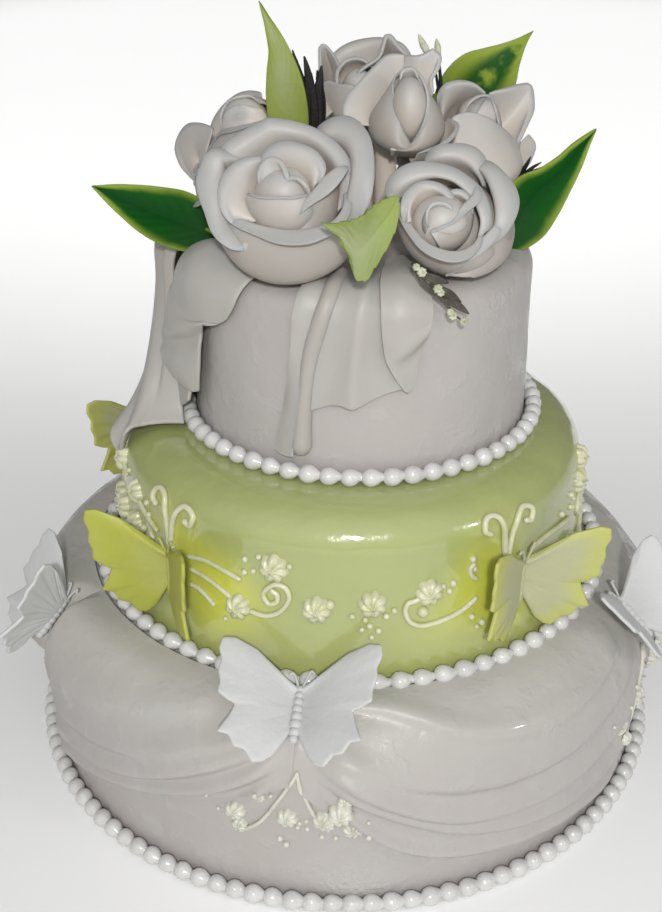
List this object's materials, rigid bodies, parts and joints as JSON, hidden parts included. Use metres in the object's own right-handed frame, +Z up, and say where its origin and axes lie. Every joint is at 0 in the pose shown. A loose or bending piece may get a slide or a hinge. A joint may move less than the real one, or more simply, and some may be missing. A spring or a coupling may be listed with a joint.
{
  "type": "tiered celebration cake",
  "caption": "Iced celebration cake in stacked round tiers with pearl borders, swags, drapes, paste roses, leaves and butterflies.",
  "frame": {"origin": "on the flat underside of the bottom tier, at the centre of the pearl border within 2 mm", "axes": "+Z up through the stacked tiers, front with the central white butterfly towards -Y, +X to its right"},
  "size_m": [0.4114, 0.4093, 0.4423],
  "materials": {
    "ivory_icing": "glossy ivory rolled icing",
    "pistachio_icing": "glossy pistachio green rolled icing, deeper yellow green in places",
    "pearl_icing": "glossy white sugar pearls",
    "petal_paste": "satin ivory gum paste",
    "lime_wing": "matt gum paste dusted yellow green",
    "white_wing": "matt white gum paste",
    "green_leaf": "deep green gum paste with a yellow green edge",
    "pale_leaf": "pale yellow green gum paste with a rough green mottle",
    "twig": "dry dark brown twig"
  },
  "bodies": {
    "root": {"tier_bottom": "ivory_icing", "tier_middle": "pistachio_icing", "tier_top": "ivory_icing", "border_bottom": "pearl_icing", "border_middle": "pearl_icing", "border_top": "pearl_icing", "swag_1": "ivory_icing", "swag_2": "ivory_icing", "swag_3": "ivory_icing", "swag_4": "ivory_icing", "swag_5": "ivory_icing", "drape_front": "petal_paste", "drape_left": "petal_paste", "drape_back": "petal_paste", "drape_train": "petal_paste", "rose_front_left": "petal_paste", "rose_front_right": "petal_paste", "rose_bud": "petal_paste", "rose_right": "petal_paste", "rose_left": "petal_paste", "rose_middle": "petal_paste", "rose_back_left": "petal_paste", "rose_back_right": "petal_paste", "leaf_upright": "pale_leaf", "leaf_left": "green_leaf", "leaf_right": "green_leaf", "leaf_back_right": "pale_leaf", "leaf_front": "pale_leaf", "leaf_back_left": "green_leaf", "leaf_back": "pale_leaf", "butterfly_green_1": "lime_wing", "butterfly_green_2": "lime_wing", "butterfly_green_3": "lime_wing", "butterfly_green_4": "lime_wing", "butterfly_white_1": "white_wing", "butterfly_white_2": "white_wing", "butterfly_white_3": "white_wing", "butterfly_white_4": "white_wing", "butterfly_white_5": "white_wing", "spray_front": "twig", "spray_left": "twig", "spray_right": "twig", "spray_back": "twig"}
  },
  "joints": []
}
